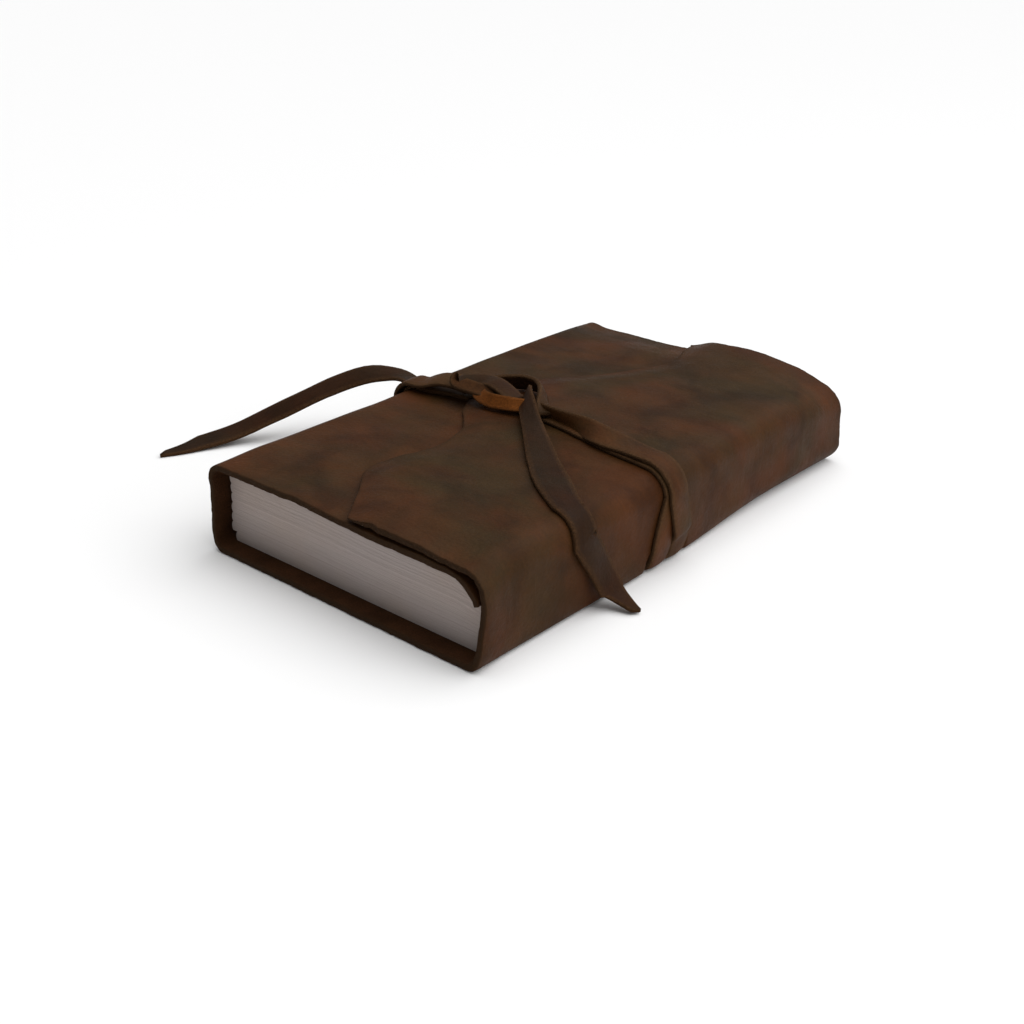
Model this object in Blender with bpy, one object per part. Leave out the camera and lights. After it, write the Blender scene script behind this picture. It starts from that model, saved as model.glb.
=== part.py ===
"""Leather wrap journal: a soft hide cover with a fold-over flap, a sewn page block and a flat thong.

Frame: origin at the centre of the underside, +X from the spine to the fore edge,
+Y from the near end to the far end, +Z up. Lengths below are millimetres; meshes are metres.
"""

from math import cos, pi, radians, sin

import bmesh
import bpy
from mathutils import Vector

MM = 0.001

# ---- driving dimensions -------------------------------------------------------------------
WIDTH = 124.0            # spine to fore edge, over the leather
LENGTH = 215.0           # near end to far end of the leather
HEIGHT = 34.5            # table to the outer face of the flap
LEATHER = 2.4            # thickness of the hide
FLAP_LIFT = 0.6          # air between the front cover and the flap that lies on it
SPINE_RADIUS = 6.5       # outer radius of the two creases at the spine
FORE_RADIUS = 8.5        # outer radius of the two creases at the fore edge
CREASE_GAP = 0.3         # gap where two panels meet in the middle of a crease
FRONT_EDGE_X = 54.0      # free edge of the front cover, hidden under the flap

SIGNATURES = 8           # folded gatherings of paper in the page block
PAGE_LENGTH = 203.0
PAGE_EDGE_X = 53.0       # fore edge of the pages
FOLD_X = -57.4           # folded back of the gatherings
BLOCK_CLEARANCE = 0.3    # between the page block and the leather above and below it
SIGNATURE_GAP = 0.25

THREAD = 1.0             # sewing thread, drawn square
THREAD_HOLE = 1.8
STITCH_Y = (30.0, 88.0)  # each long stitch runs between these distances from the middle
STITCH_SPREAD = 0.74     # the rows of stitches stand closer together than the gatherings do

THONG_WIDTH = 10.0
THONG = 1.6              # thickness of the thong
THONG_GAP = 0.3          # between a turn of the thong and what it lies on
LAYER = THONG + THONG_GAP
GROOVE_CLEARANCE = 0.25
UNDER_Z = 0.1 + THONG / 2           # the thong is pressed up into the underside
KNOT_EDGE_X = -33.0                 # the wrap comes apart here when the flap opens

INNER_Y = {"under": -2.5, "fore": -2.5, "spine": -6.0}
OUTER_Y = {"under": -13.5, "fore": -9.0, "spine": -9.0}

# ---- derived places -----------------------------------------------------------------------
LEFT, RIGHT = -WIDTH / 2, WIDTH / 2
NEAR, FAR = -LENGTH / 2, LENGTH / 2
FRONT_TOP = HEIGHT - LEATHER - FLAP_LIFT
BLOCK_BOTTOM = LEATHER + BLOCK_CLEARANCE
BLOCK_TOP = FRONT_TOP - LEATHER - BLOCK_CLEARANCE
PITCH = (BLOCK_TOP - BLOCK_BOTTOM + SIGNATURE_GAP) / SIGNATURES
SIGNATURE_THICKNESS = PITCH - SIGNATURE_GAP

# centres of the four crease arcs in the XZ plane
BOTTOM_LEFT = (LEFT + SPINE_RADIUS, SPINE_RADIUS)
TOP_LEFT = (LEFT + SPINE_RADIUS, FRONT_TOP - SPINE_RADIUS)
BOTTOM_RIGHT = (RIGHT - FORE_RADIUS, FORE_RADIUS)
TOP_RIGHT = (RIGHT - FORE_RADIUS, HEIGHT - FORE_RADIUS)


def crease_middle(centre, radius, degrees):
    """The point on a crease's outer surface in the middle of its arc: a hinge line of the hide."""
    return (centre[0] + radius * cos(radians(degrees)), centre[1] + radius * sin(radians(degrees)))


HINGE_FRONT = crease_middle(TOP_LEFT, SPINE_RADIUS, 135)
HINGE_FORE = crease_middle(BOTTOM_RIGHT, FORE_RADIUS, -45)
HINGE_FLAP = crease_middle(TOP_RIGHT, FORE_RADIUS, 45)

COLOURS = {
    "hide": ((0.060, 0.030, 0.019), 0.55),
    "hide_flap": ((0.072, 0.035, 0.021), 0.52),
    "thong": ((0.050, 0.024, 0.015), 0.58),
    "paper": ((0.62, 0.60, 0.57), 0.90),
    "thread": ((0.42, 0.35, 0.25), 0.80),
}


# ---- helpers ------------------------------------------------------------------------------
def material(name, kind):
    colour, roughness = COLOURS[kind]
    made = bpy.data.materials.new(name)
    made.use_nodes = True
    shader = made.node_tree.nodes["Principled BSDF"]
    shader.inputs["Base Color"].default_value = (*colour, 1.0)
    shader.inputs["Roughness"].default_value = roughness
    shader.inputs["Metallic"].default_value = 0.0
    return made


def add_object(name, work, kind, parent=None):
    """Turns a bmesh in world coordinates into an object hung from its joint's empty."""
    bmesh.ops.recalc_face_normals(work, faces=work.faces)
    mesh = bpy.data.meshes.new(name)
    work.to_mesh(mesh)
    work.free()
    made = bpy.data.objects.new(name, mesh)
    bpy.context.scene.collection.objects.link(made)
    if kind:
        made.data.materials.append(material(name, kind))
        made.data.shade_smooth()
        made.data.set_sharp_from_angle(angle=radians(32))
    else:
        made.hide_render = True
        made.display_type = "WIRE"
    if parent:
        made.parent = parent
        made.matrix_parent_inverse = parent.matrix_world.inverted()
    return made


def empty_at(name, place, parent=None):
    """An empty on a joint's axis; moving pieces hang from it."""
    made = bpy.data.objects.new(name, None)
    made.empty_display_size = 0.02
    bpy.context.scene.collection.objects.link(made)
    made.location = Vector((place[0], 0, place[1])) * MM
    if parent:
        made.location -= parent.matrix_world.translation
        made.parent = parent
    bpy.context.view_layer.update()
    return made


def cut(target, cutter, operation="DIFFERENCE"):
    boolean = target.modifiers.new(cutter.name, "BOOLEAN")
    boolean.operation = operation
    boolean.solver = "EXACT"
    boolean.object = cutter


def arc(centre, radius, start, end, steps):
    """Points of a circular arc in the XZ plane, angles in degrees."""
    turns = [radians(start + (end - start) * i / steps) for i in range(steps + 1)]
    return [(centre[0] + radius * cos(t), centre[1] + radius * sin(t)) for t in turns]


def prism(outline, near, far):
    """An outline in the XZ plane, extruded along Y."""
    work = bmesh.new()
    face = work.faces.new([work.verts.new((x * MM, near * MM, z * MM)) for x, z in outline])
    grown = bmesh.ops.extrude_face_region(work, geom=[face])["geom"]
    corners = [v for v in grown if isinstance(v, bmesh.types.BMVert)]
    bmesh.ops.translate(work, verts=corners, vec=(0, (far - near) * MM, 0))
    return work


def slab(outline, bottom, top):
    """An outline in the XY plane, extruded along Z."""
    work = bmesh.new()
    face = work.faces.new([work.verts.new((x * MM, y * MM, bottom * MM)) for x, y in outline])
    grown = bmesh.ops.extrude_face_region(work, geom=[face])["geom"]
    corners = [v for v in grown if isinstance(v, bmesh.types.BMVert)]
    bmesh.ops.translate(work, verts=corners, vec=(0, 0, (top - bottom) * MM))
    return work


def smooth_curve(points, steps):
    """A Catmull-Rom curve through points, with steps spans between each pair."""
    ends = [points[0] * 2 - points[1], *points, points[-1] * 2 - points[-2]]
    found = []
    for a, b, c, d in zip(ends, ends[1:], ends[2:], ends[3:]):
        for i in range(steps):
            t = i / steps
            found.append(
                (b * 2 + (c - a) * t + (a * 2 - b * 5 + c * 4 - d) * t * t
                 + (b * 3 - a - c * 3 + d) * t ** 3) / 2
            )
    return [*found, points[-1]]


def ribbon(stations, width=THONG_WIDTH, thickness=THONG, taper=(), side=None):
    """A flat strip through stations of (centre, outward normal).

    taper gives the share of the full width at the last stations, so the strip can end in a point.
    side fixes the direction of the width, so that the ends of neighbouring strips match.
    """
    work = bmesh.new()
    shares = [1.0] * (len(stations) - len(taper)) + list(taper)
    rings = []
    for i, (centre, normal) in enumerate(stations):
        before = stations[max(i - 1, 0)][0]
        after = stations[min(i + 1, len(stations) - 1)][0]
        along = (after - before).normalized()
        across = side or along.cross(normal).normalized()
        half_side = across * width / 2 * shares[i]
        half_out = across.cross(along).normalized() * thickness / 2
        corners = (half_side + half_out, half_out - half_side, -half_side - half_out, half_side - half_out)
        rings.append([work.verts.new((centre + corner) * MM) for corner in corners])
    for ring, following in zip(rings, rings[1:]):
        for i in range(4):
            j = (i + 1) % 4
            work.faces.new((ring[i], ring[j], following[j], following[i]))
    work.faces.new(rings[0])
    work.faces.new(rings[-1])
    return work


def blend(start, end, share):
    return start + (end - start) * share


# ---- the hide: five panels joined at their creases ----------------------------------------
def half_gap(radius):
    """Half the gap at a crease's middle, as an angle in degrees."""
    return CREASE_GAP / 2 / (radius - LEATHER / 2) * 180 / pi


def crease_pair(centre, radius, start, end):
    """Outer and inner arcs of a crease, in the same direction."""
    return arc(centre, radius, start, end, 4), arc(centre, radius - LEATHER, start, end, 4)


def back_cover(groove_cutters):
    small, large = half_gap(SPINE_RADIUS), half_gap(FORE_RADIUS)
    left_out, left_in = crease_pair(BOTTOM_LEFT, SPINE_RADIUS, 225 + small, 270)
    right_out, right_in = crease_pair(BOTTOM_RIGHT, FORE_RADIUS, -90, -45 - large)
    outline = left_out + right_out + right_in[::-1] + left_in[::-1]
    panel = add_object("back_cover", prism(outline, NEAR, FAR), "hide")
    for cutter in groove_cutters:
        cut(panel, cutter)


def spine_panel():
    small = half_gap(SPINE_RADIUS)
    low_out, low_in = crease_pair(BOTTOM_LEFT, SPINE_RADIUS, 180, 225 - small)
    high_out, high_in = crease_pair(TOP_LEFT, SPINE_RADIUS, 135 + small, 180)
    outline = high_out + low_out + low_in[::-1] + high_in[::-1]
    panel = add_object("spine", prism(outline, NEAR, FAR), "hide")
    cut(panel, thread_holes())


def front_cover(hinge):
    small = half_gap(SPINE_RADIUS)
    outer, inner = crease_pair(TOP_LEFT, SPINE_RADIUS, 135 - small, 90)
    free_edge = [(FRONT_EDGE_X, FRONT_TOP), (FRONT_EDGE_X, FRONT_TOP - LEATHER)]
    outline = outer + free_edge + inner[::-1]
    add_object("front_cover", prism(outline, NEAR, FAR), "hide", hinge)


def fore_edge_panel(hinge):
    large = half_gap(FORE_RADIUS)
    low_out, low_in = crease_pair(BOTTOM_RIGHT, FORE_RADIUS, -45 + large, 0)
    high_out, high_in = crease_pair(TOP_RIGHT, FORE_RADIUS, 0, 45 - large)
    outline = low_out + high_out + high_in[::-1] + low_in[::-1]
    add_object("fore_edge", prism(outline, NEAR, FAR), "hide", hinge)


def flap(hinge):
    """The flap is cut by hand: its free edge wanders, and a tongue runs out under the thong."""
    large = half_gap(FORE_RADIUS)
    outer, inner = crease_pair(TOP_RIGHT, FORE_RADIUS, 45 + large, 90)
    reach = LEFT + 20
    outline = outer + [(reach, HEIGHT), (reach, HEIGHT - LEATHER)] + inner[::-1]
    panel = add_object("flap", prism(outline, NEAR, FAR), "hide_flap", hinge)
    edge = smooth_curve([Vector(point) for point in (
        (7, NEAR), (-4, -92), (-14, -79), (-15, -66), (-11, -48), (-16, -30),
        (-31, -12), (-34, 6), (-28, 26), (-17, 46), (-7, 66), (-2, 82), (-8, 99), (-11, FAR),
    )], 2)
    beyond = 5.0
    shape = [(RIGHT + beyond, NEAR - beyond), (edge[0].x, NEAR - beyond)]
    shape += [(point.x, point.y) for point in edge[1:-1]]
    shape += [(edge[-1].x, FAR + beyond), (RIGHT + beyond, FAR + beyond)]
    pattern = add_object("flap_pattern", slab(shape, HEIGHT / 2, HEIGHT + beyond), None)
    cut(panel, pattern, "INTERSECT")


# ---- the page block -----------------------------------------------------------------------
def signature_bottom(index):
    """Height of a gathering's underside; gathering 1 is the top one."""
    return BLOCK_BOTTOM + (SIGNATURES - index) * PITCH


def stitch_height(index):
    middle = (BLOCK_BOTTOM + BLOCK_TOP) / 2
    own = signature_bottom(index) + SIGNATURE_THICKNESS / 2
    return blend(middle, own, STITCH_SPREAD)


def fold_centre(index):
    """The axis of a gathering's rounded fold. The outer ones sit back inside the spine's creases."""
    radius = SIGNATURE_THICKNESS / 2
    height = signature_bottom(index) + radius
    beyond = max(BOTTOM_LEFT[1] - height, height - TOP_LEFT[1], 0)
    reach = SPINE_RADIUS - LEATHER - BLOCK_CLEARANCE - radius
    inside_crease = BOTTOM_LEFT[0] - max(reach * reach - beyond * beyond, 0) ** 0.5
    return max(FOLD_X + radius, inside_crease), height


def signature(index, parent=None):
    """One folded gathering: round at its fold, square at its cut edge."""
    low = signature_bottom(index)
    fold = arc(fold_centre(index), SIGNATURE_THICKNESS / 2, 90, 270, 6)
    outline = fold + [(PAGE_EDGE_X, low), (PAGE_EDGE_X, low + SIGNATURE_THICKNESS)]
    work = prism(outline, -PAGE_LENGTH / 2, PAGE_LENGTH / 2)
    add_object(f"signature_{index}", work, "paper", parent)


def box(low, high):
    work = bmesh.new()
    size = Vector(high) - Vector(low)
    bmesh.ops.create_cube(work, size=1.0)
    bmesh.ops.scale(work, vec=size * MM, verts=work.verts)
    bmesh.ops.translate(work, vec=(Vector(low) + size / 2) * MM, verts=work.verts)
    return work


def sewing_thread(index):
    """One thread holds each gathering: two long stitches outside the spine, joined along the fold."""
    height = stitch_height(index)
    outside = LEFT - 0.4 - THREAD / 2
    inside = FOLD_X - 0.3 - THREAD / 2
    near, far = STITCH_Y
    route = [(inside, -far), (outside, -far), (outside, -near), (inside, -near),
             (inside, near), (outside, near), (outside, far), (inside, far)]
    half = THREAD / 2
    one_side, other_side = [], []
    turns = [Vector(point) for point in route]
    for i, point in enumerate(turns):
        before = (point - turns[i - 1]).normalized() if i else (turns[1] - point).normalized()
        after = (turns[i + 1] - point).normalized() if i < len(turns) - 1 else before
        corner = Vector((-before.y, before.x)) + Vector((-after.y, after.x))
        if before.dot(after) > 0.5:
            corner /= 2
        one_side.append(point + corner * half)
        other_side.append(point - corner * half)
    shape = [(p.x, p.y) for p in one_side + other_side[::-1]]
    add_object(f"sewing_thread_{index}", slab(shape, height - half, height + half), "thread")


def thread_holes():
    """The four awl holes that each thread passes through, as one cutter."""
    work = bmesh.new()
    half = THREAD_HOLE / 2
    for index in range(1, SIGNATURES + 1):
        height = stitch_height(index)
        for y in (-STITCH_Y[1], -STITCH_Y[0], STITCH_Y[0], STITCH_Y[1]):
            hole = box((LEFT - 2, y - half, height - half), (LEFT + LEATHER + 2, y + half, height + half))
            mesh = bpy.data.meshes.new("hole")
            hole.to_mesh(mesh)
            hole.free()
            work.from_mesh(mesh)
            bpy.data.meshes.remove(mesh)
    return add_object("thread_holes", work, None)


# ---- the thong: two turns around the book -------------------------------------------------
def corner_stations(centre, radius, start, end, lifts, across, steps=6):
    """Stations around one crease. lifts and across hold the start and end lift and Y.

    A change of lift is over by the middle of the crease, so only the back cover needs a groove.
    """
    found = []
    for i in range(steps + 1):
        share = i / steps
        angle = radians(blend(start, end, share))
        rise = min(2 * share, 1) ** 2
        reach = radius + blend(lifts[0], lifts[1], rise)
        normal = Vector((cos(angle), 0, sin(angle)))
        place = Vector((centre[0], blend(across[0], across[1], share), centre[1])) + normal * reach
        found.append((place, normal))
    return found


def turn_stations(layer, lane):
    """Stretches of one turn of the thong. layer 0 lies on the hide, layer 1 on the other turn."""
    lift = THONG_GAP + THONG / 2 + layer * LAYER
    sunk = -UNDER_Z
    under, fore, back = lane["under"], lane["fore"], lane["spine"]
    down, up = Vector((0, 0, -1)), Vector((0, 0, 1))
    wrap = [(Vector((BOTTOM_RIGHT[0] - THONG_GAP, under, UNDER_Z)), down)]
    wrap += corner_stations(BOTTOM_LEFT, SPINE_RADIUS, 270, 180, (sunk, lift), (under, under))
    wrap.append((Vector((LEFT - lift, back, TOP_LEFT[1] - THONG_GAP)), Vector((-1, 0, 0))))
    spine_bend = corner_stations(TOP_LEFT, SPINE_RADIUS, 180, 90, (lift, lift), (back, back))
    start = Vector((TOP_LEFT[0] + THONG_GAP, back, FRONT_TOP + lift))
    end = Vector((KNOT_EDGE_X - 2 * THONG_GAP - 1, back, FRONT_TOP + lift))
    front = [(start, up), (end, up)]
    fore_bend_low = corner_stations(BOTTOM_RIGHT, FORE_RADIUS, -90, 0, (sunk, lift), (under, under))
    low = Vector((RIGHT + lift, under, BOTTOM_RIGHT[1] + THONG_GAP))
    high = Vector((RIGHT + lift, fore, TOP_RIGHT[1] - THONG_GAP))
    outward = Vector((1, 0, 0))
    fore_turn = [(low, outward), (high, outward)]
    fore_bend_high = corner_stations(TOP_RIGHT, FORE_RADIUS, 0, 90, (lift, lift), (fore, fore))
    return {"wrap": wrap, "spine_bend": spine_bend, "front": front, "fore_bend_low": fore_bend_low,
            "fore": fore_turn, "fore_bend_high": fore_bend_high}


def along_top(points, lift, steps=3):
    """Stations over the flap from chosen (x, y) points."""
    height = HEIGHT + lift
    curve = smooth_curve([Vector((x, y, height)) for x, y in points], steps)
    return [(point, Vector((0, 0, 1))) for point in curve]


def thong_turn(name, layer, lane, top_points, bodies):
    stretches = turn_stations(layer, lane)
    stretches["flap"] = along_top(top_points, THONG_GAP + THONG / 2 + layer * LAYER)
    carried = {"front": "front", "fore": "fore", "fore_bend_high": "fore", "flap": "flap"}
    for stretch, stations in stretches.items():
        strip = ribbon(stations, side=Vector((0, 1, 0)))
        add_object(f"{name}_{stretch}", strip, "thong", bodies.get(carried.get(stretch)))


def groove_cutter(name, layer, lane):
    """The hide's underside is pressed in where the thong runs under the book."""
    stretches = turn_stations(layer, lane)
    extra = 2 * GROOVE_CLEARANCE
    stations = stretches["fore_bend_low"][::-1] + stretches["wrap"][1:]
    strip = ribbon(stations, THONG_WIDTH + extra, THONG + extra, side=Vector((0, 1, 0)))
    return add_object(name, strip, None)


# ---- the knot and the loose ends ----------------------------------------------------------
def bow_loop(hinge):
    """The thong's end is folded double and tucked, which leaves a flat loop towards the spine."""
    low, high = HEIGHT + 5.1, HEIGHT + 8.3
    points = [(-22.5, 0.5, low), (-28, 2.5, low), (-33, 4, low + 0.4), (-35.2, 4.8, (low + high) / 2),
              (-33, 5.4, high - 0.2), (-25, 6.5, high + 0.3), (-16, 6, high), (-5, 3, high)]
    curve = smooth_curve([Vector(point) for point in points], 2)
    stations = []
    for i, point in enumerate(curve):
        before, after = curve[max(i - 1, 0)], curve[min(i + 1, len(curve) - 1)]
        along = after - before
        stations.append((point, along.cross(Vector((0.1, 1, 0))).normalized()))
    add_object("bow_loop", ribbon(stations), "thong", hinge)


def right_tail(bodies):
    """The long end crosses over both turns, runs to the fore edge and hangs to the table."""
    rest = HEIGHT + THONG_GAP + THONG / 2
    over = [(-19, 13, rest + 1.4), (-14, 7, rest + 4.4), (-8, 0, rest + 4.9), (-1, -9, rest + 4.2),
            (8, -20, rest + 1.2), (22, -33, rest), (38, -47, rest), (TOP_RIGHT[0] - 2, -56, rest)]
    curve = smooth_curve([Vector(point) for point in over], 2)
    add_object("right_tail_flap", ribbon([(point, Vector((0, 0, 1))) for point in curve]),
               "thong", bodies["flap"])
    lift = THONG_GAP + THONG / 2
    bend = corner_stations(TOP_RIGHT, FORE_RADIUS, 88, 4, (lift, lift), (-56.5, -60.5))
    add_object("right_tail_bend", ribbon(bend), "thong", bodies["fore"])
    down = [(RIGHT + lift, -60.6, TOP_RIGHT[1] - 0.9), (64.6, -60, 17), (68.6, -57.5, 8.5), (74, -53, 3.2), (79, -49, 1.2)]
    curve = smooth_curve([Vector(point) for point in down], 2)
    normals = [Vector((1, 0, 0.12)) * (1 - i / 8) + Vector((0.5, -0.25, 1)) * (i / 8) for i in range(9)]
    stations = list(zip(curve, normals))
    add_object("right_tail_end", ribbon(stations, taper=(0.8, 0.5, 0.12)), "thong", bodies["fore"])


def left_tail():
    """The short end leaves the wrap at the spine, bows outward and lands on the table."""
    points = [(-67.2, -1, 19), (-71, 3.5, 21.5), (-80, 9.5, 24), (-95, 10.5, 24.5), (-107, 4, 21.5),
              (-119, -6.5, 16.5), (-130, -20, 11), (-138, -36, 6.3), (-143, -54, 3.6), (-145.5, -67, 2.6)]
    curve = smooth_curve([Vector(point) for point in points], 2)
    first, last = Vector((-0.6, -0.8, 0.15)), Vector((0.6, -0.2, 0.9))
    count = len(curve) - 1
    stations = [(point, first * (1 - i / count) + last * (i / count)) for i, point in enumerate(curve)]
    add_object("left_tail", ribbon(stations, taper=(0.85, 0.55, 0.12)), "thong")


# ---- assembly -----------------------------------------------------------------------------
def main():
    for old in list(bpy.data.objects):
        bpy.data.objects.remove(old, do_unlink=True)

    front = empty_at("front_cover_hinge", HINGE_FRONT)
    leaves = empty_at("first_signature_hinge", HINGE_FRONT)
    fore = empty_at("fore_edge_hinge", HINGE_FORE)
    over = empty_at("flap_hinge", HINGE_FLAP, fore)
    bodies = {"front": front, "fore": fore, "flap": over}

    grooves = [groove_cutter("groove_inner", 0, INNER_Y), groove_cutter("groove_outer", 1, OUTER_Y)]
    back_cover(grooves)
    spine_panel()
    front_cover(front)
    fore_edge_panel(fore)
    flap(over)

    for index in range(1, SIGNATURES + 1):
        signature(index, leaves if index == 1 else None)
        sewing_thread(index)

    inner_top = [(51.6, -2.5), (30, -2.8), (8, -3.2), (-12, -4), (KNOT_EDGE_X + 4, -6)]
    outer_top = [(51.6, -9.6), (31, -3.2), (12, 0.8), (-6, -1), (-20, -5), (KNOT_EDGE_X + 3, -8)]
    thong_turn("thong_inner", 0, INNER_Y, inner_top, bodies)
    thong_turn("thong_outer", 1, OUTER_Y, outer_top, bodies)
    bow_loop(over)
    right_tail(bodies)
    left_tail()


main()
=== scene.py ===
"""Looks of the leather wrap journal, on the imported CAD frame.

Axes: origin at the centre of the underside, +X from the spine to the fore edge, +Y from the near
end to the far end, +Z up. Shapes are laid out in millimetres on the CAD's regular block, then
settle() moves every point to where the soft book has slumped. Meshes are in metres.
"""
from math import cos, pi, radians, sin

import bmesh
import bpy
from mathutils import Matrix, Vector, noise


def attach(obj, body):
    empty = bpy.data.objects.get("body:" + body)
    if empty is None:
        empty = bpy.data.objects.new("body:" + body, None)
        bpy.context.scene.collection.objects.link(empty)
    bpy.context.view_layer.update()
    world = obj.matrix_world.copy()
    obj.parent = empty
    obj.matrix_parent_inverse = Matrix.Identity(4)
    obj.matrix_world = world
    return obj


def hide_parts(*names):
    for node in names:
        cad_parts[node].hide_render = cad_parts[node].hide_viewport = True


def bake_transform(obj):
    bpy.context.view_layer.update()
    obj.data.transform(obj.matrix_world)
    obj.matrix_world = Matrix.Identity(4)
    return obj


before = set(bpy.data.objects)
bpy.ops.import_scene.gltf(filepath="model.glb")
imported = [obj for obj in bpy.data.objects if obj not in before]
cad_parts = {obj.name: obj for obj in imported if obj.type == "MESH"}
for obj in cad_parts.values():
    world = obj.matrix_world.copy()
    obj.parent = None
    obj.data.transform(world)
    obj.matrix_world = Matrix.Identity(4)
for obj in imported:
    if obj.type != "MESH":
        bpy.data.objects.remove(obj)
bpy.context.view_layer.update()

MM = 0.001
UP = Vector((0, 0, 1))

# ---- the CAD's dimensions, in millimetres --------------------------------------------------
WIDTH, LENGTH, HEIGHT = 124.0, 215.0, 34.5
LEATHER = 2.4
FRONT_TOP = 31.5                 # outer face of the front cover, under the flap
SPINE_RADIUS, FORE_RADIUS = 6.5, 8.5
LEFT, RIGHT = -WIDTH / 2, WIDTH / 2
NEAR, FAR = -LENGTH / 2, LENGTH / 2
BOTTOM_LEFT = (LEFT + SPINE_RADIUS, SPINE_RADIUS)
TOP_LEFT = (LEFT + SPINE_RADIUS, FRONT_TOP - SPINE_RADIUS)
BOTTOM_RIGHT = (RIGHT - FORE_RADIUS, FORE_RADIUS)
TOP_RIGHT = (RIGHT - FORE_RADIUS, HEIGHT - FORE_RADIUS)

THONG_WIDTH, THONG = 10.0, 1.6
THONG_GAP = 0.3
LAYER = THONG + THONG_GAP
UNDER_Z = 0.9                    # middle of the thong where it runs under the book
THONG_DENT = 1.85                # how far it presses into the underside
KNOT_EDGE_X = -33.0              # the wrap comes apart here when the flap opens
TURNS = {                        # the turns' lanes, as Y under the book, at its edge, at its spine
    "inner": {"layer": 0, "under": -18.0, "fore": -12.6, "spine": -6.0},
    "outer": {"layer": 1, "under": -7.4, "fore": -12.0, "spine": -9.0},
}

SIGNATURES, SHEETS = 8, 6        # gatherings, and folded sheets in each
PAGE_LENGTH, PAGE_EDGE_X, FOLD_X = 203.0, 56.8, -58.5
BLOCK_BOTTOM, BLOCK_TOP = 2.7, 28.8
SIGNATURE_GAP = 0.05             # the gatherings lie closer than their solids in the CAD
FOLD_SHARE = 0.5                 # how far a fold stands out, of half its thickness
CURL_X, CURL_RADIUS = 44.0, 16.5  # where the front cover turns down over the pages
CURL_START = 25.0                # angle at its free edge, from level
PITCH = (BLOCK_TOP - BLOCK_BOTTOM + SIGNATURE_GAP) / SIGNATURES
SIGNATURE_THICKNESS = PITCH - SIGNATURE_GAP
THREAD, THREAD_SIDES = 1.0, 10
STITCH_Y, STITCH_SPREAD = (30.0, 88.0), 0.74

# the free edge of the flap, cut by hand, from the near end to the far end
FLAP_EDGE = [(7, NEAR), (-4, -92), (-14, -79), (-15, -66), (-11, -48), (-16, -30), (-31, -12),
             (-34, 6), (-28, 26), (-17, 46), (-7, 66), (-2, 82), (-8, 99), (-11, FAR)]

SPINE_SEAM_Z, FORE_SEAM_Z = 15.0, 17.0   # where the hide's pieces meet, on its flat sides
SKIVE, SKIVE_WIDTH = 1.7, 12.0   # the flap's free edge is pared thin over this width
EDGE_SHARES = (0.28, 0.72)       # where the cut faces have points, between the hide's two sides


# ---- small tools ---------------------------------------------------------------------------
def smooth(value, start, end):
    """0 before start, 1 after end and smooth between; start may be the larger."""
    share = min(max((value - start) / (end - start), 0.0), 1.0)
    return share * share * (3 - 2 * share)


def lerp(start, end, share):
    return start + (end - start) * share


def wander(x, y, z, size):
    """Smooth noise between about -1 and 1 that changes over size millimetres."""
    return noise.noise(Vector((x / size + 31.7, y / size - 12.3, z / size + 7.9)))


def smooth_curve(points, steps):
    """A Catmull-Rom curve through points, with steps spans between each pair."""
    ends = [points[0] * 2 - points[1], *points, points[-1] * 2 - points[-2]]
    found = []
    for a, b, c, d in zip(ends, ends[1:], ends[2:], ends[3:]):
        for i in range(steps):
            t = i / steps
            found.append(
                (b * 2 + (c - a) * t + (a * 2 - b * 5 + c * 4 - d) * t * t
                 + (b * 3 - a - c * 3 + d) * t ** 3) / 2
            )
    return [*found, points[-1]]


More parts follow.
